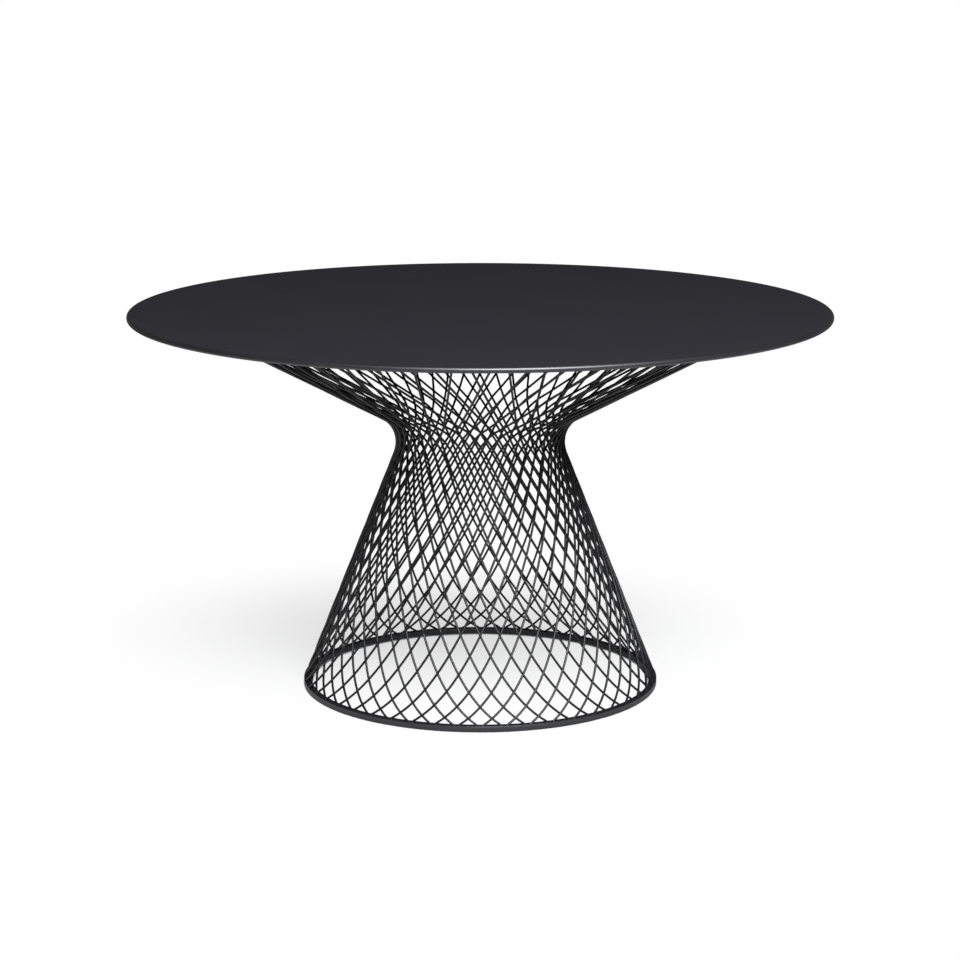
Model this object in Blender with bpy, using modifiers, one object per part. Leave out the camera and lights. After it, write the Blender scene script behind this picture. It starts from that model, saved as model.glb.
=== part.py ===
"""Round garden table: a sheet steel top on a basket of crossing steel wires.

The base is one basket of 48 wires that climb to the right and 48 that climb to
the left. They stand on a bottom ring, wind up a narrowing cone, cross at a tight
waist and fan out to a wide ring under the top. The two sets lie in two layers,
one just outside the other, and are spot welded where they cross.

Metres, +Z up. The origin is on the floor, at the middle of the table, and the
table is seen from -Y. Angles round the table start at -Y and grow towards +X.
"""
import math

import bmesh
import bpy
from mathutils import Matrix, Vector

# Whole table
HEIGHT = 0.745              # floor to the top's upper face
TOP_DIAMETER = 1.356        # over the rolled edge
GAP = 0.0003                # clearance between pieces that touch

# Top: a steel sheet whose edge is rolled under into a bead
SHEET = 0.002
BEAD_DIAMETER = 0.0109
BEAD_TURN = math.radians(240)   # how far round the edge is rolled
TOP_STEPS = 56
BEAD_STEPS = 5

# Rings: a flat bar on the floor, round rod under the top
BOTTOM_RING_RADIUS = 0.3428     # to the middle of the bar
BOTTOM_BAR_WIDTH = 0.014
BOTTOM_BAR_HEIGHT = 0.0105
BOTTOM_BAR_CHAMFER = 0.0008
TOP_RING_RADIUS = 0.542
TOP_ROD = 0.010
RING_STEPS = 60

# Basket profile: two straight runs that would meet at a corner, and its fillet
WAIST_RADIUS = 0.1443           # the corner, before the fillet
WAIST_HEIGHT = 0.5136
WAIST_FILLET = 0.0654

# Basket wires
WIRE_DIAMETER = 0.0044
WIRES_EACH_WAY = 48
WIRES_PER_GROUP = 2             # of each set, in one welded group
FOOT_OUTSIDE = 0.0010               # the feet stand this far outside the bar's middle
FOOT_ANGLE = math.radians(0.85)     # a foot, round from the nearest crossing line
FOOT_LEAN = math.radians(56.0)      # lean from upright, where a wire leaves the ring
LOWER_LEAN = math.radians(23.15)    # lean that it settles to on the lower cone
FOOT_CURL = 0.0623                  # distance over which the foot's lean fades
WAIST_LEAN = math.radians(6.6)      # extra lean that the bend at the waist brings
WAIST_SPREAD = 0.0522               # distance over which that comes and goes
UPPER_REACH = 0.0715                # the upper runs pass the axis at this distance
WELD_ROW = 6                        # row of crossings, from the foot, that joins a group
WELD_SIZE = 0.0022
LOWER_STEPS = 5
FILLET_STEPS = 4
UPPER_STEPS = 2

# Cross of rectangular tube under the sheet
RAIL_WIDTH = 0.025
RAIL_HEIGHT = 0.010
RAIL_WALL = 0.0015
RAIL_OVERHANG = 0.012           # rail beyond the tabs

# Tabs on the top ring, screwed up into the rails
TAB_LENGTH = 0.030
TAB_WIDTH = 0.024
TAB_THICKNESS = 0.003
SCREW_DIAMETER = 0.006
SCREW_HEAD = 0.012
SCREW_HEAD_HEIGHT = 0.0035
SCREW_GRIP = 0.004              # screw above the rail's lower wall
ROUND_STEPS = 12

# Plastic glides under the bottom ring
GLIDE_COUNT = 8
GLIDE_DIAMETER = 0.008
GLIDE_HEIGHT = 0.0015
GLIDE_CHAMFER = 0.0003

# Places that follow from the sizes
SHEET_UNDER = HEIGHT - SHEET
RAIL_TOP = SHEET_UNDER - GAP
RAIL_UNDER = RAIL_TOP - RAIL_HEIGHT
TOP_RING_Z = RAIL_UNDER - GAP - TOP_ROD / 2
TAB_TOP = RAIL_UNDER - GAP
BOTTOM_BAR_TOP = GLIDE_HEIGHT + BOTTOM_BAR_HEIGHT
TAB_START = TOP_RING_RADIUS + TOP_ROD / 2 + GAP
SCREW_RADIUS_AT = TAB_START + TAB_LENGTH / 2
RAIL_REACH = TAB_START + TAB_LENGTH + RAIL_OVERHANG

# A wire is drawn with a square section of the round wire's own area, its flats
# towards the other layer
WIRE_SIDE = WIRE_DIAMETER * math.sqrt(math.pi) / 2
LAYER = (WIRE_SIDE + GAP) / 2   # each layer's middle, from the basket's surface
WIRE_PITCH = 2 * math.pi / WIRES_EACH_WAY
RING_SAG = TOP_RING_RADIUS * (1 - math.cos(math.pi / RING_STEPS))   # its flats lie inside


def clear_scene():
    for thing in list(bpy.data.objects):
        bpy.data.objects.remove(thing)


def new_collection(name):
    group = bpy.data.collections.new(name)
    bpy.context.scene.collection.children.link(group)
    return group


def material(name, colour, roughness, metallic):
    made = bpy.data.materials.new(name)
    made.use_nodes = True
    shader = made.node_tree.nodes["Principled BSDF"]
    shader.inputs["Base Color"].default_value = (*colour, 1)
    shader.inputs["Roughness"].default_value = roughness
    shader.inputs["Metallic"].default_value = metallic
    return made


def adopt(thing, name, parent, group, look):
    """Name the object, hang it from the table's empty and move it to its collection."""
    for old in list(thing.users_collection):
        old.objects.unlink(thing)
    group.objects.link(thing)
    thing.name = name
    thing.data.name = name
    thing.parent = parent
    if look and not thing.data.materials:
        thing.data.materials.append(look)
    return thing


def smooth(thing, angle=35):
    thing.data.shade_smooth()
    thing.data.set_sharp_from_angle(angle=math.radians(angle))


def apply_modifiers(thing):
    """Replace the object's mesh by what its modifiers make of it."""
    graph = bpy.context.evaluated_depsgraph_get()
    made = bpy.data.meshes.new_from_object(thing.evaluated_get(graph))
    thing.modifiers.clear()
    thing.data = made


def cut(thing, tool, operation="DIFFERENCE"):
    step = thing.modifiers.new(operation.title(), "BOOLEAN")
    step.operation = operation
    step.solver = "EXACT"
    step.object = tool


def turned(name, profile, steps, loop=False):
    """A solid of revolution: a profile from axis to axis, or a closed loop round it."""
    mesh = bpy.data.meshes.new(name)
    edges = [(i, i + 1) for i in range(len(profile) - 1)]
    if loop:
        edges.append((len(profile) - 1, 0))
    mesh.from_pydata([(r, 0, z) for r, z in profile], edges, [])
    thing = bpy.data.objects.new(name, mesh)
    bpy.context.scene.collection.objects.link(thing)
    screw = thing.modifiers.new("Turn", "SCREW")
    screw.steps = steps
    screw.render_steps = steps
    screw.use_merge_vertices = True
    screw.merge_threshold = 0.00005
    screw.use_smooth_shade = True
    return thing


def box(name, size, place):
    bpy.ops.mesh.primitive_cube_add(size=1, location=place)
    thing = bpy.context.object
    thing.name = name
    thing.data.transform(Matrix.Diagonal((*size, 1)))
    return thing


def rod_ring(name, radius, rod, sides, height):
    bpy.ops.mesh.primitive_torus_add(
        major_radius=radius, minor_radius=rod / 2, major_segments=RING_STEPS,
        minor_segments=sides, location=(0, 0, height))
    thing = bpy.context.object
    thing.name = name
    smooth(thing, 50)
    return thing


def bar_ring(name, radius, width, height, chamfer, bottom):
    """A flat bar bent to a ring, its edges just broken."""
    half = width / 2
    corners = ((-half, chamfer), (-half, height - chamfer), (-half + chamfer, height),
               (half - chamfer, height), (half, height - chamfer), (half, chamfer),
               (half - chamfer, 0), (-half + chamfer, 0))
    return turned(name, [(radius + x, bottom + z) for x, z in corners], RING_STEPS, loop=True)


# The basket's surface, by distance along its profile

def basket_runs():
    """Foot, end and tangent points of the profile, and the fillet's centre and angles."""
    foot = Vector((BOTTOM_RING_RADIUS + FOOT_OUTSIDE, BOTTOM_BAR_TOP))
    corner = Vector((WAIST_RADIUS, WAIST_HEIGHT))
    end = Vector((TOP_RING_RADIUS, TOP_RING_Z))
    down = (foot - corner).normalized()
    out = (end - corner).normalized()
    half = down.angle(out) / 2
    back = WAIST_FILLET / math.tan(half)
    low = corner + down * back
    high = corner + out * back
    centre = corner + (down + out).normalized() * (WAIST_FILLET / math.sin(half))
    return foot, low, high, end, centre


FOOT, FILLET_LOW, FILLET_HIGH, END, FILLET_CENTRE = basket_runs()
LOWER_RUN = (FILLET_LOW - FOOT).length
FILLET_RUN = WAIST_FILLET * (FILLET_LOW - FILLET_CENTRE).angle(FILLET_HIGH - FILLET_CENTRE)
UPPER_RUN = (END - FILLET_HIGH).length
WAIST_START = LOWER_RUN
WAIST_END = LOWER_RUN + FILLET_RUN
FULL_RUN = WAIST_END + UPPER_RUN


def on_profile(s):
    """Radius and height at distance s up the profile, and the upward tangent there."""
    if s <= WAIST_START:
        tangent = (FILLET_LOW - FOOT).normalized()
        return FOOT + tangent * s, tangent
    if s >= WAIST_END:
        tangent = (END - FILLET_HIGH).normalized()
        return FILLET_HIGH + tangent * (s - WAIST_END), tangent
    turn = -(s - WAIST_START) / WAIST_FILLET
    arm = FILLET_LOW - FILLET_CENTRE
    arm = Vector((arm.x * math.cos(turn) - arm.y * math.sin(turn),
                  arm.x * math.sin(turn) + arm.y * math.cos(turn)))
    return FILLET_CENTRE + arm, Vector((arm.y, -arm.x)).normalized()


def lean_at(s, radius):
    """How far a wire leans from the profile: curled foot, steady climb, straight fan."""
    lower = LOWER_LEAN + (FOOT_LEAN - LOWER_LEAN) * math.exp(-s / FOOT_CURL)
    upper = math.asin(min(0.9, UPPER_REACH / radius))
    share = min(1.0, max(0.0, (s - WAIST_START) / FILLET_RUN))
    share = share * share * (3 - 2 * share)
    middle = (WAIST_START + WAIST_END) / 2
    bump = WAIST_LEAN * math.exp(-((s - middle) / WAIST_SPREAD) ** 2)
    return lower * (1 - share) + upper * share + bump


def winding(step=0.001):
    """Angle round the table of one wire against its distance up the profile."""
    count = math.ceil(FULL_RUN / step)
    step = FULL_RUN / count
    angles = [FOOT_ANGLE]
    for i in range(count):
        s = (i + 0.5) * step
        point, tangent = on_profile(s)
        angles.append(angles[-1] + math.tan(lean_at(s, point.x)) * step / point.x)
    return angles, step


WINDING, WINDING_STEP = winding()


def angle_at(s):
    place = s / WINDING_STEP
    i = min(len(WINDING) - 2, max(0, int(place)))
    return WINDING[i] + (WINDING[i + 1] - WINDING[i]) * (place - i)


def wire_stations(layer):
    """Distances up the profile of a wire's corner points, closer where it curves.

    Each layer starts where its own middle line is just above the bar.
    """
    climb = (FILLET_LOW - FOOT).normalized()
    start = (GAP + layer * climb.x) / climb.y
    finish = FULL_RUN - TOP_ROD / 2 - RING_SAG - GAP
    lower = WAIST_START - start
    stations = [start + lower * (i / LOWER_STEPS) ** 1.6 for i in range(LOWER_STEPS)]
    stations += [WAIST_START + FILLET_RUN * i / FILLET_STEPS for i in range(FILLET_STEPS)]
    upper = finish - WAIST_END
    stations += [WAIST_END + upper * (i / UPPER_STEPS) ** 1.2 for i in range(UPPER_STEPS + 1)]
    return stations


def around(angle):
    return Vector((math.sin(angle), -math.cos(angle), 0))


def wire_point(s, hand, start_angle, layer):
    """Point on a wire's middle line, and the basket's outward normal there."""
    flat, tangent = on_profile(s)
    outward = around(start_angle + hand * angle_at(s))
    normal = outward * tangent.y - Vector((0, 0, tangent.x))
    return outward * flat.x + Vector((0, 0, flat.y)) + normal * layer, normal


def section_tilt(direction, normal):
    """Turn of the wire's square section that lays a flat along the basket's surface."""
    level = direction.cross(Vector((0, 0, 1))).normalized()
    upper = level.cross(direction).normalized()
    return math.pi / 4 - math.atan2(normal.dot(upper), normal.dot(level))


def mitre(mesh, end, along, seat):
    """Slide the four corners of a wire's end along it, onto the plane square to seat."""
    for corner in mesh.vertices:
        if (corner.co - end).length < WIRE_SIDE:
            corner.co += along * ((end - corner.co).dot(seat) / along.dot(seat))


def wire_mesh(hand, start_angle):
    """One wire as a bevelled curve, made a closed mesh with its ends cut to the rings."""
    layer = LAYER * hand
    stations = wire_stations(layer)
    places = [wire_point(s, hand, start_angle, layer) for s in stations]
    points = [place for place, normal in places]
    curve = bpy.data.curves.new("wire", "CURVE")
    curve.dimensions = "3D"
    curve.twist_mode = "Z_UP"
    curve.bevel_depth = WIRE_SIDE / math.sqrt(2)
    curve.bevel_resolution = 0
    curve.use_fill_caps = True
    spline = curve.splines.new("POLY")
    spline.points.add(len(points) - 1)
    for i, (place, normal) in enumerate(places):
        before = points[max(0, i - 1)]
        after = points[min(len(points) - 1, i + 1)]
        first = (place - before).normalized() if i else (after - place).normalized()
        second = (after - place).normalized() if i < len(points) - 1 else first
        spline.points[i].co = (*place, 1)
        spline.points[i].tilt = section_tilt((first + second).normalized(), normal)
    thing = bpy.data.objects.new("wire", curve)
    bpy.context.scene.collection.objects.link(thing)
    bpy.context.view_layer.update()
    graph = bpy.context.evaluated_depsgraph_get()
    mesh = bpy.data.meshes.new_from_object(thing.evaluated_get(graph))
    bpy.data.objects.remove(thing)
    mitre(mesh, points[0], (points[1] - points[0]).normalized(), Vector((0, 0, 1)))
    flat, tangent = on_profile(stations[-1])
    outward = around(start_angle + hand * angle_at(stations[-1]))
    mitre(mesh, points[-1], (points[-2] - points[-1]).normalized(),
          outward * tangent.x + Vector((0, 0, tangent.y)))
    form = bmesh.new()
    form.from_mesh(mesh)
    bmesh.ops.remove_doubles(form, verts=form.verts, dist=0.00001)
    bmesh.ops.recalc_face_normals(form, faces=form.faces)
    form.to_mesh(mesh)
    form.free()
    return mesh, points


def chord_at(points, angle):
    """Where a wire's straight pieces pass the upright plane at this angle."""
    side = Vector((math.cos(angle), math.sin(angle), 0))
    for a, b in zip(points, points[1:]):
        before = a.dot(side)
        after = b.dot(side)
        if before * after <= 0 and a.dot(around(angle)) > 0:
            return a.lerp(b, before / (before - after))
    raise ValueError("the wires of a group do not cross")


def joined(name, meshes):
    form = bmesh.new()
    for mesh in meshes:
        form.from_mesh(mesh)
    made = bpy.data.meshes.new(name)
    form.to_mesh(made)
    form.free()
    thing = bpy.data.objects.new(name, made)
    bpy.context.scene.collection.objects.link(thing)
    return thing


def weld_mesh(outer, inner):
    """The fused spot between two crossing wires, from one middle line to the other."""
    along = outer - inner
    level = along.cross(Vector((0, 0, 1))).normalized()
    turn = Matrix((level, along.normalized().cross(level), along.normalized())).transposed()
    form = bmesh.new()
    bmesh.ops.create_cube(form, size=1)
    bmesh.ops.transform(form, verts=form.verts, matrix=Matrix.Diagonal(
        (WELD_SIZE, WELD_SIZE, along.length, 1)))
    bmesh.ops.transform(form, verts=form.verts, matrix=Matrix.Translation(
        (outer + inner) / 2) @ turn.to_4x4())
    mesh = bpy.data.meshes.new("weld")
    form.to_mesh(mesh)
    form.free()
    return mesh


def wire_group_mesh():
    """Neighbouring wires of both sets, made one piece by the welds where they cross."""
    right = []
    left = []
    for i in range(WIRES_PER_GROUP):
        right.append((i * WIRE_PITCH, *wire_mesh(1, i * WIRE_PITCH)))
        start = (WELD_ROW + i) * WIRE_PITCH
        left.append((start, *wire_mesh(-1, start)))
    welds = []
    for right_start, right_mesh, right_points in right:
        for left_start, left_mesh, left_points in left:
            meet = (right_start + left_start) / 2
            welds.append(weld_mesh(chord_at(right_points, meet), chord_at(left_points, meet)))
    wires = joined("wires", [entry[1] for entry in right + left])
    spots = joined("spots", welds)
    cut(wires, spots, "UNION")
    apply_modifiers(wires)
    mesh = wires.data
    bpy.data.objects.remove(wires)
    bpy.data.objects.remove(spots)
    return mesh


def make_wires(parent, group, look):
    mesh = wire_group_mesh()
    count = WIRES_EACH_WAY // WIRES_PER_GROUP
    for i in range(count):
        thing = bpy.data.objects.new("wires", mesh)
        bpy.context.scene.collection.objects.link(thing)
        adopt(thing, f"wires_{i + 1:02d}", parent, group, look)
        thing.rotation_euler = (0, 0, 2 * math.pi * i / count)


def make_top(parent, group, look):
    outer = BEAD_DIAMETER / 2
    inner = outer - SHEET
    middle = TOP_DIAMETER / 2 - outer
    profile = [(0, HEIGHT)]
    turns = [math.pi / 2 - BEAD_TURN * i / BEAD_STEPS for i in range(BEAD_STEPS + 1)]
    for turn in turns:
        profile.append((middle + outer * math.cos(turn), HEIGHT - outer + outer * math.sin(turn)))
    for turn in reversed(turns):
        profile.append((middle + inner * math.cos(turn), HEIGHT - outer + inner * math.sin(turn)))
    profile.append((0, SHEET_UNDER))
    adopt(turned("table_top", profile, TOP_STEPS), "table_top", parent, group, look)


def make_rails(parent, group, cutters, look):
    """A long tube across the table and two short ones that butt against it."""
    half = RAIL_WIDTH / 2
    short = RAIL_REACH - half - GAP
    middle_z = RAIL_TOP - RAIL_HEIGHT / 2
    rails = (("rail_long", 2 * RAIL_REACH, (0, 0), 0, (SCREW_RADIUS_AT, -SCREW_RADIUS_AT)),
             ("rail_front", short, (0, -(half + GAP + short / 2)), 90, (-SCREW_RADIUS_AT,)),
             ("rail_back", short, (0, half + GAP + short / 2), 90, (SCREW_RADIUS_AT,)))
    for name, length, place, turn, holes in rails:
        rail = box(name, (length, RAIL_WIDTH, RAIL_HEIGHT), (*place, middle_z))
        bore = box(name + "_bore", (length * 1.1, RAIL_WIDTH - 2 * RAIL_WALL,
                                    RAIL_HEIGHT - 2 * RAIL_WALL), (*place, middle_z))
        rail.rotation_euler = (0, 0, math.radians(turn))
        bore.rotation_euler = rail.rotation_euler
        cut(rail, adopt(bore, name + "_bore", parent, cutters, None))
        for i, away in enumerate(holes):
            spot = (away, 0) if turn == 0 else (0, away)
            cut(rail, screw_hole(f"{name}_hole_{i}", spot, parent, cutters))
        adopt(rail, name, parent, group, look)


def screw_hole(name, spot, parent, cutters):
    """Cutter for a screw's hole through the lower wall only."""
    bpy.ops.mesh.primitive_cylinder_add(
        vertices=ROUND_STEPS, radius=SCREW_DIAMETER / 2 + GAP,
        depth=2 * (TAB_THICKNESS + RAIL_WALL),
        location=(*spot, RAIL_UNDER))
    return adopt(bpy.context.object, name, parent, cutters, None)


def make_tabs(parent, group, cutters, look, screw_look):
    """Tabs that stand out from the top ring under each rail end, and their screws."""
    for side, turn in (("front", 0), ("right", 90), ("back", 180), ("left", 270)):
        outward = around(math.radians(turn))
        spot = outward * SCREW_RADIUS_AT
        tab = box("tab", (TAB_WIDTH, TAB_LENGTH, TAB_THICKNESS),
                  (spot.x, spot.y, TAB_TOP - TAB_THICKNESS / 2))
        tab.rotation_euler = (0, 0, math.radians(turn))
        cut(tab, screw_hole(f"tab_{side}_hole", spot.xy, parent, cutters))
        adopt(tab, "tab_" + side, parent, group, look)
        shank = SCREW_DIAMETER / 2
        head = SCREW_HEAD / 2
        seat = TAB_TOP - TAB_THICKNESS - GAP
        tip = RAIL_UNDER + RAIL_WALL + SCREW_GRIP
        screw = turned("screw", [
            (0, tip), (shank, tip), (shank, seat), (head, seat),
            (head, seat - SCREW_HEAD_HEIGHT / 2), (head * 0.7, seat - SCREW_HEAD_HEIGHT),
            (0, seat - SCREW_HEAD_HEIGHT)], ROUND_STEPS)
        screw.location = (spot.x, spot.y, 0)
        adopt(screw, "screw_" + side, parent, group, screw_look)


def make_glides(parent, group, look):
    radius = GLIDE_DIAMETER / 2
    top = GLIDE_HEIGHT - GAP
    for i in range(GLIDE_COUNT):
        spot = around(2 * math.pi * (i + 0.5) / GLIDE_COUNT) * BOTTOM_RING_RADIUS
        glide = turned("glide", [
            (0, top), (radius, top), (radius, GLIDE_CHAMFER),
            (radius - GLIDE_CHAMFER, 0), (0, 0)], ROUND_STEPS)
        glide.location = (spot.x, spot.y, 0)
        adopt(glide, f"glide_{i + 1}", parent, group, look)


def build():
    clear_scene()
    table = new_collection("garden_table")
    cutters = new_collection("cutters")
    parent = bpy.data.objects.new("garden_table", None)
    table.objects.link(parent)

    coated = material("powder coated steel", (0.030, 0.029, 0.036), 0.45, 0.0)
    top_coat = material("powder coated sheet", (0.028, 0.027, 0.034), 0.5, 0.0)
    zinc = material("zinc plated screw", (0.55, 0.55, 0.56), 0.35, 1.0)
    plastic = material("black plastic glide", (0.015, 0.015, 0.015), 0.6, 0.0)

    make_top(parent, table, top_coat)
    make_rails(parent, table, cutters, coated)
    make_tabs(parent, table, cutters, coated, zinc)
    adopt(rod_ring("top_ring", TOP_RING_RADIUS, TOP_ROD, 8, TOP_RING_Z),
          "top_ring", parent, table, coated)
    make_wires(parent, table, coated)
    adopt(bar_ring("bottom_ring", BOTTOM_RING_RADIUS, BOTTOM_BAR_WIDTH, BOTTOM_BAR_HEIGHT,
                   BOTTOM_BAR_CHAMFER, GLIDE_HEIGHT), "bottom_ring", parent, table, coated)
    make_glides(parent, table, plastic)

    for tool in cutters.objects:
        tool.hide_render = True
        tool.display_type = "WIRE"


build()
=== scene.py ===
# %% [markdown]
# # A round garden table on a wire basket
#
# A thin round top of sheet steel rests on an hourglass basket: 48 steel wires wind one
# way, 48 wind the other, and they are spot welded wherever they cross. All of it is
# powder coated in dark anthracite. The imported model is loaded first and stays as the
# fixed frame, so every piece made below goes exactly where the frame has it.

# %% Load the frame
import math

import bmesh
import bpy
from mathutils import Matrix, Vector


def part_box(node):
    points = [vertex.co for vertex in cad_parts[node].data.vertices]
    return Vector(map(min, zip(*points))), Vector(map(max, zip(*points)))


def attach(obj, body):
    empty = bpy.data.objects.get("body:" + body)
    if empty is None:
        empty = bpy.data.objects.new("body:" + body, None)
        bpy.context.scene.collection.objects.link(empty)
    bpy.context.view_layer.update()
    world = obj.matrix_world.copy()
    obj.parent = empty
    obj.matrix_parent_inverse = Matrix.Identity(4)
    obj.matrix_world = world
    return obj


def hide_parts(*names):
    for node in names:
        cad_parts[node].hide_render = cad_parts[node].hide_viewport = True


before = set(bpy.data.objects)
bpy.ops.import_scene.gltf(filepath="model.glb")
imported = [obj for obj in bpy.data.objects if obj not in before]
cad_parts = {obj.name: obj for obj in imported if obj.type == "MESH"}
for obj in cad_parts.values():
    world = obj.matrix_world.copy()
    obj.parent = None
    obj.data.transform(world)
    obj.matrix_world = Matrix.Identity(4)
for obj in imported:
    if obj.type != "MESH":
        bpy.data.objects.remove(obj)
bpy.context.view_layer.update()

# %% [markdown]
# ## The camera
#
# Verticals in the picture barely converge and the oval of the top is flat, so the lens
# is long, about 98 mm on a 36 mm wide sensor, and stands 5 m away, twice as high as
# the table. Matching the ovals of the top and of the bottom ring gives both the height
# and the tilt. The lens has no shift, so other views can reuse the same camera.

# %% Place the camera
LENS, SENSOR_WIDTH = 98.2, 36           # mm
CAMERA_PLACE = (-0.0005, -5.012, 1.488)
TILT = 12.185                           # degrees below level


def in_scene(name, data):
    """A new object with this data, linked to the scene."""
    thing = bpy.data.objects.new(name, data)
    bpy.context.scene.collection.objects.link(thing)
    return thing


camera = in_scene("camera", bpy.data.cameras.new("camera"))
camera.data.lens = LENS
camera.data.sensor_width = SENSOR_WIDTH
camera.data.sensor_fit = "HORIZONTAL"
camera.location = CAMERA_PLACE
camera.rotation_euler = (math.radians(90 - TILT), 0, 0)
bpy.context.scene.camera = camera
bpy.context.scene.view_settings.view_transform = "Standard"
print("camera at", tuple(round(v, 3) for v in camera.location))

# %% [markdown]
# ## Helpers for materials
#
# Colours are written as sRGB hex, the way a colour picker shows them, and one function
# turns them to the linear values that a shader wants. The next adds a shader node, sets
# its properties and fills or links its inputs in one call, so that a material reads from
# top to bottom like a recipe. The last two open an empty material and give it its output.

# %% Colour and node helpers
def linear(hex_colour):
    """sRGB hex, such as "2C2B30", as a linear RGBA tuple."""
    parts = [int(hex_colour[i:i + 2], 16) / 255 for i in (0, 2, 4)]
    light = [p / 12.92 if p <= 0.04045 else ((p + 0.055) / 1.055) ** 2.4 for p in parts]
    return (*light, 1)


def add_node(tree, kind, inputs=(), **settings):
    """Add a shader node; inputs maps a socket's name or number to a value or a socket."""
    node = tree.nodes.new("ShaderNode" + kind)
    for name, value in settings.items():
        setattr(node, name, value)
    for name, value in dict(inputs).items():
        if isinstance(value, bpy.types.NodeSocket):
            tree.links.new(value, node.inputs[name])
        else:
            node.inputs[name].default_value = value
    return node


def new_material(name):
    """An empty material and its node tree."""
    made = bpy.data.materials.new(name)
    made.use_nodes = True
    made.node_tree.nodes.clear()
    return made, made.node_tree


def shade(made, surface):
    """Give a material its output, with this shader as the surface."""
    add_node(made.node_tree, "OutputMaterial", {"Surface": surface.outputs[0]})
    return made


print("anthracite in linear light:", [round(v, 4) for v in linear("2C2B30")])

# %% [markdown]
# ## Powder coat
#
# Powder coat is a polyester paint that is sprayed on as dust and melted to a film of
# about 0.08 mm. It levels to a fine orange peel, with dimples a millimetre or so
# across. The colour is nearly black; the grey that wires and edges show where they face
# the lamp is a rough sheen on top of it. A wide flat sheet lies matt: a fine grain in the
# film scatters the light, so even at a grazing angle it mirrors almost nothing. The
# dimples are finer than a pixel of the main picture, so they are drawn two or three
# times as wide, and a finer set on top is there for close views. Colour and sheen vary
# a little from place to place, as they do where a spray gun passed twice.
#
# One function mixes the coat and each part gets its own grade of it, because a thin wire, a
# flat sheet and a rolled edge take the powder differently. The rolled edge's darker colour,
# though, is painted shade.

# %% Mix the coat
RESIN_IOR = 1.57            # polyester
CLOUDS = 7                  # mottles to a metre
SHEEN_SPREAD = 0.03         # how far the roughness strays from its mean


def powder_coat(name, colour, lighter, roughness, specular, peel, dimple):
    """A sprayed and baked coat: mottled colour and sheen over an orange peel."""
    made, tree = new_material(name)
    place = add_node(tree, "TexCoord").outputs["Object"]
    cloud = add_node(tree, "TexNoise", {"Vector": place, "Scale": CLOUDS, "Detail": 2})
    colours = add_node(tree, "MixRGB", {
        "Fac": cloud.outputs["Fac"], "Color1": linear(colour), "Color2": linear(lighter)})
    sheen = add_node(tree, "MapRange", {
        "Value": cloud.outputs["Fac"], "From Min": 0.3, "From Max": 0.7,
        "To Min": roughness - SHEEN_SPREAD, "To Max": roughness + SHEEN_SPREAD})
    coarse = add_node(tree, "TexNoise", {
        "Vector": place, "Scale": 1 / dimple, "Detail": 1, "Roughness": 0.4})
    fine = add_node(tree, "TexNoise", {
        "Vector": place, "Scale": 3 / dimple, "Detail": 1, "Roughness": 0.5})
    skin = add_node(tree, "Math", {
        0: coarse.outputs["Fac"], 1: fine.outputs["Fac"]}, operation="ADD")
    bump = add_node(tree, "Bump", {
        "Height": skin.outputs[0], "Strength": peel, "Distance": dimple / 8})
    return shade(made, add_node(tree, "BsdfPrincipled", {
        "Base Color": colours.outputs[0], "Roughness": sheen.outputs[0],
        "IOR": RESIN_IOR, "Specular IOR Level": specular, "Normal": bump.outputs[0]}))


# On wire the film is thick and even, so it hides the steel and keeps a soft sheen.
wire_coat = powder_coat("powder coat on wire", "141317", "18171B", 0.37, 0.46, 0.3, 0.002)
# On the flats of a bar or tube the grain stays on top and spreads the sheen wider.
bar_coat = powder_coat("powder coat on bar", "19181C", "1D1C20", 0.40, 0.88, 0.3, 0.002)
# A sheet is coated lying down, which levels the film finer and leaves it duller still.
sheet_coat = powder_coat("powder coat on sheet", "28272C", "2B2A2F", 0.85, 0.02, 0.3, 0.003)
# Over a rolled edge the molten film is drawn thin and smooth, so it shines. Its colour,
# darker than the sheet's, is painted shade for the rim's sides, which turn away from the
# lamp.
edge_coat = powder_coat("powder coat on edge", "19181D", "1D1C21", 0.41, 1.0, 0.03, 0.003)
print("coats:", ", ".join(c.name for c in (wire_coat, bar_coat, sheet_coat, edge_coat)))

# %% [markdown]
# ## Zinc and moulded plastic
#
# The screws under the top are zinc plated: a pale, slightly blue metal whose thin
# crystals leave a cloudy sheen. The glides under the bottom ring are moulded in black
# polyethylene, which is waxy and dull and keeps the spark-eroded grain of its mould.

# %% Zinc and plastic
def zinc_plate():
    """Pale plated metal with a cloudy sheen."""
    made, tree = new_material("zinc plate")
    place = add_node(tree, "TexCoord").outputs["Object"]
    crystals = add_node(tree, "TexNoise", {"Vector": place, "Scale": 900, "Detail": 3})
    colours = add_node(tree, "MixRGB", {
        "Fac": crystals.outputs["Fac"],
        "Color1": linear("AFB2B6"), "Color2": linear("C9CACB")})
    rough = add_node(tree, "MapRange", {
        "Value": crystals.outputs["Fac"], "To Min": 0.25, "To Max": 0.45})
    return shade(made, add_node(tree, "BsdfPrincipled", {
        "Base Color": colours.outputs[0], "Roughness": rough.outputs[0], "Metallic": 1.0}))


def glide_moulding():
    """Dull black plastic with the grain of its mould."""
    made, tree = new_material("moulded polyethylene")
    place = add_node(tree, "TexCoord").outputs["Object"]
    grain = add_node(tree, "TexNoise", {"Vector": place, "Scale": 2500, "Detail": 2})
    colours = add_node(tree, "MixRGB", {
        "Fac": grain.outputs["Fac"],
        "Color1": linear("1C1C1D"), "Color2": linear("232324")})
    bump = add_node(tree, "Bump", {
        "Height": grain.outputs["Fac"], "Strength": 0.3, "Distance": 0.0001})
    return shade(made, add_node(tree, "BsdfPrincipled", {
        "Base Color": colours.outputs[0], "Roughness": 0.6, "Normal": bump.outputs[0]}))


zinc = zinc_plate()
plastic = glide_moulding()
print("made", zinc.name, "and", plastic.name)

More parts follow.
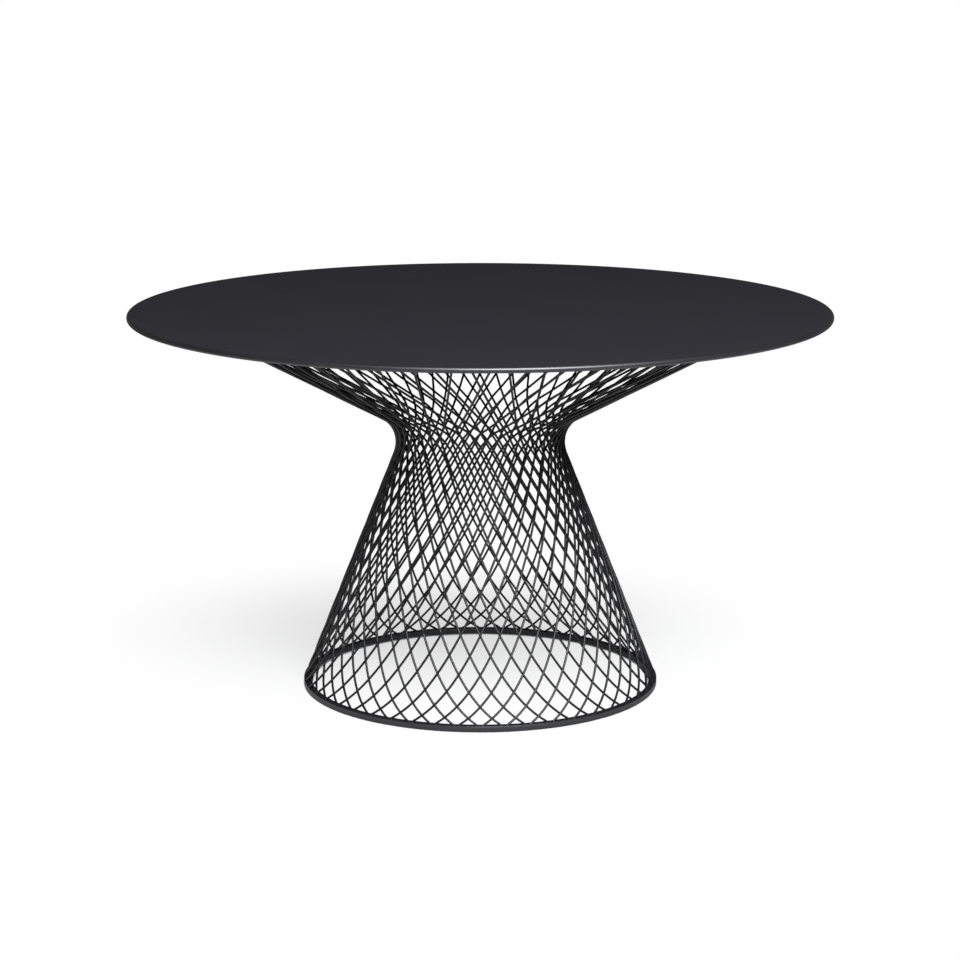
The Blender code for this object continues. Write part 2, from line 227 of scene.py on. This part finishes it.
# %% [markdown]
# ## The form of the basket
#
# Cut through the table's axis, the basket is two straight runs and a fillet: a lower
# cone up to the waist and a wide fan out to the top ring. Every wire follows the
# surface that this line sweeps, so the line comes first. It is kept as a function of
# the distance along it, because that is how far a wire has climbed.

# %% Sizes of the basket
FOOT_RING, FEET = 0.3428, 0.3438    # radius of the bar's middle, and of the feet on it
BAR_WIDTH, BAR_HEIGHT, BAR_TOP = 0.014, 0.0105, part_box("bottom_ring")[1].z
TOP_RING, TOP_ROD = 0.542, 0.010    # radius of the ring, diameter of its rod
TOP_RING_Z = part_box("top_ring")[1].z - TOP_ROD / 2
WAIST_RADIUS, WAIST_HEIGHT = 0.1443, 0.5136     # the corner, before its fillet
WAIST_FILLET = 0.0654
WIRE = 0.0044                       # diameter
WIRES_EACH_WAY = 48
PITCH = 2 * math.pi / WIRES_EACH_WAY
GAP = 0.0003                        # the frame's own gap between the two layers
LAYER = (WIRE * math.sqrt(math.pi) / 2 + GAP) / 2   # offset of a layer's middle line

foot = Vector((FEET, BAR_TOP))
corner = Vector((WAIST_RADIUS, WAIST_HEIGHT))
head = Vector((TOP_RING, TOP_RING_Z))
down = (foot - corner).normalized()
out = (head - corner).normalized()
half = down.angle(out) / 2
fillet_low = corner + down * WAIST_FILLET / math.tan(half)
fillet_high = corner + out * WAIST_FILLET / math.tan(half)
fillet_centre = corner + (down + out).normalized() * WAIST_FILLET / math.sin(half)
LOWER = (fillet_low - foot).length
BEND = WAIST_FILLET * (fillet_low - fillet_centre).angle(fillet_high - fillet_centre)
RUN = LOWER + BEND + (head - fillet_high).length
print(f"profile: {LOWER:.4f} m of cone, {BEND:.4f} m of waist, {RUN:.4f} m in all")


def on_profile(s):
    """Radius and height at distance s along the profile, and the way up from there."""
    if s <= LOWER:
        return foot - down * s, -down
    if s >= LOWER + BEND:
        return fillet_high + out * (s - LOWER - BEND), out
    arm = fillet_low - fillet_centre
    arm.rotate(Matrix.Rotation(-(s - LOWER) / WAIST_FILLET, 2))
    return fillet_centre + arm, Vector((arm.y, -arm.x)).normalized()


def around(angle):
    """The level direction at an angle round the table, from the front towards +X."""
    return Vector((math.sin(angle), -math.cos(angle), 0))


# %% [markdown]
# ## How the wires wind
#
# A wire leans most at its foot, where it curls out of the ring, then settles to a
# steady climb on the cone, tightens a little at the waist and fans out almost straight:
# on the fan every wire would pass the axis at the same small distance. Adding up the
# lean, a millimetre at a time, gives the angle that a wire has wound round the table.
# It comes to just over a quarter turn from foot to head.

# %% Wind one wire
FOOT_ANGLE, FOOT_LEAN = math.radians(0.85), math.radians(56.0)
CONE_LEAN, FOOT_CURL = math.radians(23.15), 0.0623      # the curl fades over FOOT_CURL
WAIST_LEAN, WAIST_SPREAD = math.radians(6.6), 0.0522
FAN_REACH = 0.0715                  # distance at which the fan's wires pass the axis
STEEPEST = 0.9                      # keeps the fan's formula real close to the axis


def lean_at(s, radius):
    """Lean of a wire from the profile at distance s."""
    cone = CONE_LEAN + (FOOT_LEAN - CONE_LEAN) * math.exp(-s / FOOT_CURL)
    fan = math.asin(min(STEEPEST, FAN_REACH / radius))
    share = min(1.0, max(0.0, (s - LOWER) / BEND))
    share = share * share * (3 - 2 * share)
    bump = WAIST_LEAN * math.exp(-((s - LOWER - BEND / 2) / WAIST_SPREAD) ** 2)
    return cone * (1 - share) + fan * share + bump


WIND_STEPS = math.ceil(RUN / 0.001)
WIND_STEP = RUN / WIND_STEPS
wound = [FOOT_ANGLE]
for i in range(WIND_STEPS):
    middle = (i + 0.5) * WIND_STEP
    radius = on_profile(middle)[0].x
    wound.append(wound[-1] + math.tan(lean_at(middle, radius)) * WIND_STEP / radius)
print(f"a wire winds {math.degrees(wound[-1]):.1f} degrees on its way up")


def angle_at(s):
    """Angle wound at distance s."""
    i = min(WIND_STEPS - 1, max(0, int(s / WIND_STEP)))
    return wound[i] + (wound[i + 1] - wound[i]) * (s / WIND_STEP - i)


def distance_at(angle):
    """Distance along the profile at which a wire has wound this far."""
    i = next(i for i in range(WIND_STEPS) if wound[i + 1] >= angle)
    return (i + (angle - wound[i]) / (wound[i + 1] - wound[i])) * WIND_STEP


def on_wire(s, hand, start, layer):
    """A point of a wire's middle line, and the basket's outward normal there."""
    flat, climb = on_profile(s)
    outward = around(start + hand * angle_at(s))
    normal = outward * climb.y - Vector((0, 0, climb.x))
    return outward * flat.x + Vector((0, 0, flat.y)) + normal * layer, normal


# %% [markdown]
# ## One wire
#
# A wire is drawn rod of 4.4 mm, so a curve with a round bevel is the natural tool: its
# points are the winding, every few millimetres, and its thickness is one number. It is
# turned to a mesh at once, so that the pieces below can be joined and turned. The two
# windings lie in two layers, one just outside the other, and touch where they cross.

# %% Draw a wire
WIRE_POINTS, ROUNDNESS = 132, 4
WIRE_HEAD = RUN - TOP_ROD / 2       # where a wire meets the side of the top ring
HEAD_SINK = 0.0006                  # how far its end goes into the ring's weld


def drawn_wire(form, hand, start):
    """Add one wire to a bmesh, from the bar's top to the side of the top ring."""
    layer = LAYER * hand
    low = layer * down.x / down.y
    high = WIRE_HEAD + HEAD_SINK
    curve = bpy.data.curves.new("wire", "CURVE")
    curve.dimensions = "3D"
    curve.bevel_depth = WIRE / 2
    curve.bevel_resolution = ROUNDNESS
    curve.use_fill_caps = True
    line = curve.splines.new("POLY")
    line.points.add(WIRE_POINTS - 1)
    for i, point in enumerate(line.points):
        s = low + (high - low) * i / (WIRE_POINTS - 1)
        point.co = (*on_wire(s, hand, start, layer)[0], 1)
    thing = in_scene("wire", curve)
    made = thing.to_mesh(depsgraph=bpy.context.evaluated_depsgraph_get())
    form.from_mesh(made)
    bpy.data.objects.remove(thing)
    bpy.data.curves.remove(curve)


def bead(form, place, normal, along, size, detail=1):
    """A weld nugget: a ball whose half sizes run across, along and out of the joint."""
    side = normal.cross(along).normalized()
    turn = Matrix((side, side.cross(normal), normal)).transposed().to_4x4()
    shape = Matrix.Diagonal((size[0], size[1], size[2], 1))
    bmesh.ops.create_icosphere(form, subdivisions=detail, radius=1,
                               matrix=Matrix.Translation(place) @ turn @ shape)


def as_mesh(name, form):
    """Turn a bmesh into a mesh."""
    mesh = bpy.data.meshes.new(name)
    form.to_mesh(mesh)
    form.free()
    return mesh


def placed(name, mesh, coat, node, smooth=40):
    """Show a mesh as a piece that rides on the frame and stands for a node."""
    piece = in_scene(name, mesh)
    mesh.materials.append(coat)
    mesh.shade_smooth()
    mesh.set_sharp_from_angle(angle=math.radians(smooth))
    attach(piece, "root")
    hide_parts(node)
    return piece


def finished(name, form, coat, node, smooth=40):
    """Turn a bmesh into such a piece."""
    bmesh.ops.recalc_face_normals(form, faces=form.faces)
    return placed(name, as_mesh(name, form), coat, node, smooth)


# %% [markdown]
# ## The basket
#
# The frame holds the basket as 24 groups of four wires: two neighbours of each winding.
# Each group is the same shape turned by 15 degrees, so it is drawn once and copied. The
# nuggets where wires cross belong to the group's right-hand wires: at every crossing
# the wires have wound a whole number of half pitches, which says exactly where it is.
# A welder's bead also closes each foot on the bar and each head on the top ring.

# %% Draw and copy the group
GROUPS = 24
NEIGHBOURS = 2                      # wires of each winding in a group
ROW = 6                             # pitches from the right-hand to the left-hand wires
FOOT_BEAD = (0.0030, 0.0046, 0.0011)    # half sizes: across, along, out of the joint
HEAD_BEAD = (0.0028, 0.0028, 0.0014)
NUGGET = (0.0022, 0.0022, 0.0014)
STEP_BACK = 0.002                   # along a wire, to find the direction of its end
UP = Vector((0, 0, 1))
form = bmesh.new()
for i in range(NEIGHBOURS):
    for hand, start in ((1, i * PITCH), (-1, (ROW + i) * PITCH)):
        drawn_wire(form, hand, start)
        stand = on_wire(0, hand, start, LAYER * hand)[0]
        tangent = around(start + hand * (FOOT_ANGLE + math.pi / 2))
        stand.z = BAR_TOP
        bead(form, stand, UP, tangent, FOOT_BEAD, 2)
        end, normal = on_wire(WIRE_HEAD, hand, start, LAYER * hand)
        before = on_wire(WIRE_HEAD - STEP_BACK, hand, start, LAYER * hand)[0]
        bead(form, end, (end - before).normalized(), normal, HEAD_BEAD, 2)
crossings = int(wound[-1] / (PITCH / 2))
for i in range(NEIGHBOURS):
    for k in range(1, crossings + 1):
        s = distance_at(k * PITCH / 2)
        spot, normal = on_wire(s, 1, i * PITCH, 0)
        level = around(i * PITCH + angle_at(s) + math.pi / 2)
        bead(form, spot, normal, level, NUGGET)
bmesh.ops.recalc_face_normals(form, faces=form.faces)
group = as_mesh("basket_group", form)
for i in range(GROUPS):
    mesh = group.copy()
    mesh.transform(Matrix.Rotation(2 * math.pi * i / GROUPS, 4, "Z"))
    placed(f"basket_{i + 1:02d}", mesh, wire_coat, f"wires_{i + 1:02d}",
           smooth=50)
print(f"{GROUPS} groups of {len(group.polygons)} faces, {crossings} crossings to a wire")

# %% [markdown]
# ## The two rings
#
# The basket stands on a flat bar that was bent on edge into a ring and hangs from a
# ring of round rod. Both are sections spun once round the axis. The bar's edges were
# broken with a file before coating, so its section is a rectangle with small rounded
# corners; that rounding is what draws the thin light line along the bar's upper edge.

# %% Spin the rings
RING_STEPS, ROD_SIDES = 240, 20
BAR_EDGE = 0.0009                   # radius of the filed edges


def spin_round(form, steps, x=0, y=0, seam=0.000002):
    """Spin a section once round an upright axis through x, y, and close its seam."""
    bmesh.ops.spin(form, geom=form.verts[:] + form.edges[:], cent=(x, y, 0),
                   axis=(0, 0, 1), dvec=(0, 0, 0), angle=2 * math.pi, steps=steps,
                   use_merge=True, use_duplicate=False)
    bmesh.ops.remove_doubles(form, verts=form.verts, dist=seam)


def round_off(form, geom, radius, segments, affect="EDGES"):
    """Round these edges, or these corners of a section."""
    bmesh.ops.bevel(form, geom=geom, offset=radius, offset_type="OFFSET",
                    segments=segments, profile=0.5, affect=affect, material=-1,
                    clamp_overlap=True)


form = bmesh.new()
upright = Matrix.Rotation(math.pi / 2, 4, "X")
middle = Matrix.Translation((FOOT_RING, 0, BAR_TOP - BAR_HEIGHT / 2))
section = Matrix.Diagonal((BAR_WIDTH, BAR_HEIGHT, 1, 1))
bmesh.ops.create_grid(form, x_segments=1, y_segments=1, size=0.5,
                      matrix=middle @ upright @ section)
bmesh.ops.delete(form, geom=form.faces[:], context="FACES_ONLY")
round_off(form, form.verts[:], BAR_EDGE, 4, affect="VERTICES")
spin_round(form, RING_STEPS)
foot_ring = finished("foot_ring", form, bar_coat, "bottom_ring")

form = bmesh.new()
bmesh.ops.create_circle(form, cap_ends=False, segments=ROD_SIDES, radius=TOP_ROD / 2,
                        matrix=Matrix.Translation((TOP_RING, 0, TOP_RING_Z)) @ upright)
spin_round(form, RING_STEPS)
head_ring = finished("head_ring", form, wire_coat, "top_ring", smooth=60)
print("rings of", [len(ring.data.polygons) for ring in (foot_ring, head_ring)], "faces")

# %% [markdown]
# ## The top
#
# The top is one sheet of 2 mm steel. Its edge was rolled under into a bead, which
# stiffens it and gives it a soft round rim. Only the outer skin is drawn: a flat disc
# and two thirds of a circle, spun round the axis. Solidify then gives the sheet its
# thickness inwards, just as a real sheet has the same thickness everywhere. The faces
# that the roll bent get the shinier coat.

# %% Roll the sheet
TABLE_RADIUS, TABLE_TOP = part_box("table_top")[1].x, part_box("table_top")[1].z
SHEET, BEAD = 0.002, 0.0109
BEAD_TURN, BEAD_STEPS = math.radians(240), 24
TOP_STEPS = 256
FACE_RINGS = (0.2, 0.4, 0.55, 0.63, 0.655)      # keep the disc's faces compact


def thicken(piece, name, thickness):
    """Give a skin its wall, inwards."""
    wall = piece.modifiers.new(name, "SOLIDIFY")
    wall.thickness = thickness
    wall.offset = -1


form = bmesh.new()
edge = TABLE_RADIUS - BEAD / 2
tip = form.verts.new((0, 0, TABLE_TOP))
for reach in (*FACE_RINGS, edge):
    grown = bmesh.ops.extrude_vert_indiv(form, verts=[tip])["verts"]
    bmesh.ops.translate(form, verts=grown, vec=(reach - tip.co.x, 0, 0))
    tip = grown[0]
bmesh.ops.spin(form, geom=[tip], cent=(edge, 0, TABLE_TOP - BEAD / 2),
               axis=(0, 1, 0), dvec=(0, 0, 0), angle=BEAD_TURN, steps=BEAD_STEPS,
               use_merge=False, use_duplicate=False)
spin_round(form, TOP_STEPS)
for face in form.faces:
    face.material_index = int(face.calc_center_median().xy.length > edge)
tray = finished("sheet_top", form, sheet_coat, "table_top")
tray.data.materials.append(edge_coat)
thicken(tray, "sheet", SHEET)
print("sheet top", len(tray.data.polygons), "faces before its thickness")

# %% [markdown]
# ## Rails, tabs and screws
#
# Under the sheet lies a cross of rectangular steel tube. Tabs welded to the top ring
# reach out under the tube ends, and a screw through each tab holds the top down. None
# of this shows in the picture, but anyone who carries the table sees it. Drawn tube has
# rounded corners, so each rail is a box with its long edges bevelled, opened at both
# ends and given its wall. Butting ends are left as the saw cut them.

# %% Make the rails
TUBE_WALL, TUBE_CORNER = 0.0015, 0.002
PARALLEL = 0.9                      # cosine above which two directions count as one


def block(node):
    """A bmesh block that fills a node's box, with the block's middle and its size."""
    low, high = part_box(node)
    form = bmesh.new()
    bmesh.ops.create_cube(form, size=1, matrix=Matrix.Translation((low + high) / 2)
                          @ Matrix.Diagonal((*(high - low), 1)))
    return form, (low + high) / 2, high - low


def runs_along(edge, axis):
    """Whether an edge is parallel to an axis."""
    return abs((edge.verts[0].co - edge.verts[1].co).normalized().dot(axis)) > PARALLEL


def tube_rail(name, node, axis):
    """Rectangular tube that fills the box of a rail, its long edges rounded."""
    form = block(node)[0]
    ends = [face for face in form.faces if abs(face.normal.dot(axis)) > PARALLEL]
    bmesh.ops.delete(form, geom=ends, context="FACES_ONLY")
    round_off(form, [edge for edge in form.edges if runs_along(edge, axis)], TUBE_CORNER, 4)
    rail = finished(name, form, bar_coat, node, smooth=50)
    thicken(rail, "wall", TUBE_WALL)


tube_rail("cross_long", "rail_long", Vector((1, 0, 0)))
tube_rail("cross_front", "rail_front", Vector((0, 1, 0)))
tube_rail("cross_back", "rail_back", Vector((0, 1, 0)))

# %% [markdown]
# Each tab is flat bar, with its free corners rounded so that they don't catch a hand
# and a line of weld along the rod. A weld bead is a row of overlapping puddles, so it
# is made of small balls set close together. The screw is a pan head with a hexagon
# socket: the head is half of a section spun round the screw's own axis, and the socket
# is cut out of it.

# %% Make the tabs and screws
TAB_CORNER, TAB_EDGE = 0.006, 0.0004
PUDDLES, PUDDLE = 11, (0.0019, 0.0017, 0.0012)
WELD_SHARE = 0.92                   # of the tab's width
WELD_OUT, WELD_UP = 0.0004, 0.0006  # past the tab's inner end, and above its underside
SHANK, CHAMFER = 0.003, 0.0004      # radius of the screw's shank, chamfer of its tip
HEAD_HEIGHT, DOME_SHARE = 0.0035, 0.55
SOCKET, SOCKET_CUT = 0.0023, 0.004  # radius of the hexagon, length of the cutting tool


def weld_tab(side, turn):
    """A tab with rounded outer corners, and its weld to the top ring."""
    outward = around(math.radians(turn))
    across = around(math.radians(turn + 90))
    form, centre, size = block("tab_" + side)
    corners = [edge for edge in form.edges
               if runs_along(edge, UP) and (edge.verts[0].co - centre).dot(outward) > 0]
    round_off(form, corners, TAB_CORNER, 6)
    rims = [edge for edge in form.edges if edge.calc_face_angle(0) > math.radians(57)]
    round_off(form, rims, TAB_EDGE, 2)
    width = abs(size.dot(across))
    root = centre - outward * abs(size.dot(outward)) / 2
    for i in range(PUDDLES):
        share = (i / (PUDDLES - 1) - 0.5) * WELD_SHARE
        at = root + across * width * share - outward * WELD_OUT
        at.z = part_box("tab_" + side)[0].z + WELD_UP
        bead(form, at, UP, across, PUDDLE)
    finished("tab_plate_" + side, form, bar_coat, "tab_" + side)


def turned_screw(side):
    """A pan-head screw, head down: half of its section, spun round its axis."""
    low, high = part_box("screw_" + side)
    x, y = ((low + high) / 2).xy
    head = (high.x - low.x) / 2
    under_head, dome = low.z + HEAD_HEIGHT, HEAD_HEIGHT * DOME_SHARE
    form = bmesh.new()
    point = form.verts.new((x, y, high.z))
    for reach, height in ((SHANK - CHAMFER, high.z), (SHANK, high.z - CHAMFER),
                          (SHANK, under_head), (head, under_head), (head, low.z + dome)):
        grown = bmesh.ops.extrude_vert_indiv(form, verts=[point])["verts"]
        grown[0].co = (x + reach, y, height)
        point = grown[0]
    bmesh.ops.spin(form, geom=[point], cent=(x + head - dome, y, low.z + dome),
                   axis=(0, 1, 0), dvec=(0, 0, 0), angle=math.pi / 2, steps=6,
                   use_merge=False, use_duplicate=False)
    point = min(form.verts, key=lambda vert: vert.co.z)
    grown = bmesh.ops.extrude_vert_indiv(form, verts=[point])["verts"]
    grown[0].co = (x, y, low.z)
    spin_round(form, 32, x, y, seam=0.00001)
    return finished("screw_pan_" + side, form, zinc, "screw_" + side)


def cut_socket(screw, side):
    """Cut the hexagon socket into the underside of a screw's head."""
    low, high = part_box("screw_" + side)
    x, y = ((low + high) / 2).xy
    tool = bmesh.new()
    bmesh.ops.create_cone(tool, cap_ends=True, segments=6, radius1=SOCKET, radius2=SOCKET,
                          depth=SOCKET_CUT, matrix=Matrix.Translation((x, y, low.z)))
    socket = in_scene("socket", as_mesh("socket", tool))
    step = screw.modifiers.new("socket", "BOOLEAN")
    step.operation = "DIFFERENCE"
    step.solver = "EXACT"
    step.object = socket
    graph = bpy.context.evaluated_depsgraph_get()
    cut = bpy.data.meshes.new_from_object(screw.evaluated_get(graph))
    screw.modifiers.clear()
    screw.data = cut
    bpy.data.objects.remove(socket)


for side, turn in (("front", 0), ("right", 90), ("back", 180), ("left", 270)):
    weld_tab(side, turn)
    cut_socket(turned_screw(side), side)
print("4 tabs and 4 screws")

# %% [markdown]
# ## Glides
#
# Eight small plastic glides keep the steel bar off the paving, so that the coat isn't
# worn away and water can drain. Each is a moulded button with a rounded rim: a short
# cylinder whose lower edge is bevelled.

# %% Make the glides
GLIDES, GLIDE_EDGE = 8, 0.0004
for i in range(1, GLIDES + 1):
    low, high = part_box(f"glide_{i}")
    form = bmesh.new()
    radius = (high.x - low.x) / 2
    bmesh.ops.create_cone(form, cap_ends=True, segments=32, radius1=radius, radius2=radius,
                          depth=high.z - low.z, matrix=Matrix.Translation((low + high) / 2))
    rim = [edge for edge in form.edges
           if max(vert.co.z for vert in edge.verts) < low.z + 0.00001]
    round_off(form, rim, GLIDE_EDGE, 3)
    finished(f"glide_button_{i}", form, plastic, f"glide_{i}")
print(GLIDES, "glides")

# %% [markdown]
# ## Floor and background
#
# The table stands on a white studio floor that runs into a white background, and only
# a faint soft shadow behind the base shows where the floor is. The floor is matt white
# paint that the lamp lights, and all light that bounces off it comes from plain paint.
# For the camera, part of the paint is replaced by a glow of strength 1, which thins the
# shadow without adding light to the table; further off the glow takes over. Right under
# the bar nothing is replaced, so a thin dark line of contact stays.
#
# Shiny surfaces see that white as well, but dimmer: darkest inside the base, where the
# top and the lattice keep the light out, brightest beside it, and both the floor and the
# background fall off with distance, as in a large dark studio. Without that the rim of
# the top would be outlined in white all the way round.

# %% Paint the floor
CONTACT_RING = FOOT_RING - 0.002    # radius of the line of contact under the bar


def kinds_of_ray(tree):
    """Two sockets: 1 for rays from the camera, 1 for rays off a glossy or clear surface."""
    rays = add_node(tree, "LightPath")
    mirror = add_node(tree, "Math", {
        0: rays.outputs["Is Glossy Ray"], 1: rays.outputs["Is Transmission Ray"]},
        operation="MAXIMUM")
    return rays.outputs["Is Camera Ray"], mirror.outputs[0]


def seen_white(tree, camera_ray, mirror, dimmed):
    """How white a place looks: 1 to the camera, dimmed in a reflection, 0 otherwise."""
    shown = add_node(tree, "Math", {0: mirror, 1: dimmed}, operation="MULTIPLY")
    seen = add_node(tree, "Math", {0: camera_ray, 1: shown.outputs[0]}, operation="MAXIMUM")
    return seen.outputs[0]


def white_floor():
    """Matt white round the base, the plain white of the background further off."""
    made, tree = new_material("white floor")
    place = add_node(tree, "TexCoord").outputs["Object"]
    behind = add_node(tree, "Mapping", {
        "Vector": place, "Location": (0.07, -0.36, 0.0), "Scale": (0.85, 1.0, 1.0)})
    reach = add_node(tree, "VectorMath", {0: behind.outputs[0]}, operation="LENGTH")
    thinned = add_node(tree, "MapRange", {
        "Value": reach.outputs["Value"], "From Min": 0.02, "From Max": 0.74,
        "To Min": 0.58, "To Max": 1.0}, interpolation_type="SMOOTHSTEP")
    away = add_node(tree, "VectorMath", {0: place}, operation="LENGTH").outputs["Value"]
    beside = add_node(tree, "Math", {0: away, 1: CONTACT_RING}, operation="SUBTRACT")
    beside = add_node(tree, "Math", {0: beside.outputs[0]}, operation="ABSOLUTE")
    under = add_node(tree, "MapRange", {
        "Value": beside.outputs[0], "From Min": 0.008, "From Max": 0.011})
    share = add_node(tree, "Math", {0: thinned.outputs[0], 1: under.outputs[0]},
                     operation="MINIMUM")
    paint = add_node(tree, "BsdfDiffuse", {"Color": linear("F4F4F4")})
    camera_ray, mirror = kinds_of_ray(tree)
    looking = add_node(tree, "Math", {0: camera_ray, 1: mirror}, operation="MAXIMUM")
    share = add_node(tree, "Math", {0: share.outputs[0], 1: looking.outputs[0]},
                     operation="MULTIPLY")
    inside = add_node(tree, "MapRange", {
        "Value": away, "From Min": 0.33, "From Max": 0.38, "To Min": 0.10, "To Max": 0.60})
    fading = add_node(tree, "MapRange", {
        "Value": away, "From Min": 1.3, "From Max": 2.6, "To Min": 1.0, "To Max": 0.08})
    dim = add_node(tree, "Math", {0: inside.outputs[0], 1: fading.outputs[0]},
                   operation="MULTIPLY")
    glow = add_node(tree, "Emission", {"Strength": seen_white(tree, camera_ray, mirror,
                                                              dim.outputs[0])})
    return shade(made, add_node(tree, "MixShader", {
        0: share.outputs[0], 1: paint.outputs[0], 2: glow.outputs[0]}))


form = bmesh.new()
bmesh.ops.create_grid(form, x_segments=1, y_segments=1, size=20)
floor = in_scene("floor", as_mesh("floor", form))
floor.data.materials.append(white_floor())
print("floor", [round(v, 1) for v in floor.dimensions])

# %% [markdown]
# The background is white for the camera, a thin pale band at the horizon for shiny
# surfaces, and for matt ones a dome of room light that is strongest overhead.

# %% Paint the background
world = bpy.data.worlds.new("studio")
bpy.context.scene.world = world
world.use_nodes = True
tree = world.node_tree
tree.nodes.clear()
camera_ray, mirror = kinds_of_ray(tree)
way = add_node(tree, "TexCoord").outputs["Object"]
rise = add_node(tree, "SeparateXYZ", {"Vector": way}).outputs["Z"]
horizon = add_node(tree, "MapRange", {
    "Value": rise, "From Min": 0.0, "From Max": 0.08, "To Min": 0.5, "To Max": 0.0})
dome = add_node(tree, "MapRange", {"Value": rise, "To Min": 0.10, "To Max": 0.78})
light = add_node(tree, "MapRange", {
    "Value": mirror, "To Min": dome.outputs[0], "To Max": 0.04})
room = add_node(tree, "Background", {"Strength": light.outputs[0]})
white = add_node(tree, "Background", {"Color": (1, 1, 1, 1), "Strength": 1.0})
both = add_node(tree, "MixShader", {
    0: seen_white(tree, camera_ray, mirror, horizon.outputs[0]),
    1: room.outputs[0], 2: white.outputs[0]})
add_node(tree, "OutputWorld", {"Surface": both.outputs[0]})
print("background", world.name)

# %% [markdown]
# ## Lamp
#
# Besides the room's own light there is one large soft box. It stands in front, a little
# to the right of the camera and 37 degrees up: the bead shines brightest a little right
# of the middle, the front wires carry a grey sheen, and the bottom bar is lighter in
# front than on top. From that height the top shades the far side of the basket, so the
# wires there stay dark and the shadow lies behind the base. Its light is a little cool.

# %% Hang the soft box
AZIMUTH, ELEVATION = math.radians(14), math.radians(37)
DISTANCE, AIM = 4.5, Vector((0, 0, 0.6))
lamp = in_scene("front soft box", bpy.data.lights.new("front soft box", "AREA"))
lamp.data.shape = "RECTANGLE"
lamp.data.size, lamp.data.size_y = 2.4, 2.3
lamp.data.energy = 325
lamp.data.color = (0.95, 0.98, 1.0)
towards = around(AZIMUTH) * math.cos(ELEVATION) + UP * math.sin(ELEVATION)
lamp.location = AIM + towards * DISTANCE
lamp.rotation_euler = towards.to_track_quat("Z", "Y").to_euler()
lamp.visible_camera = False
print("lamp", lamp.name, "at", tuple(round(v, 2) for v in lamp.location))
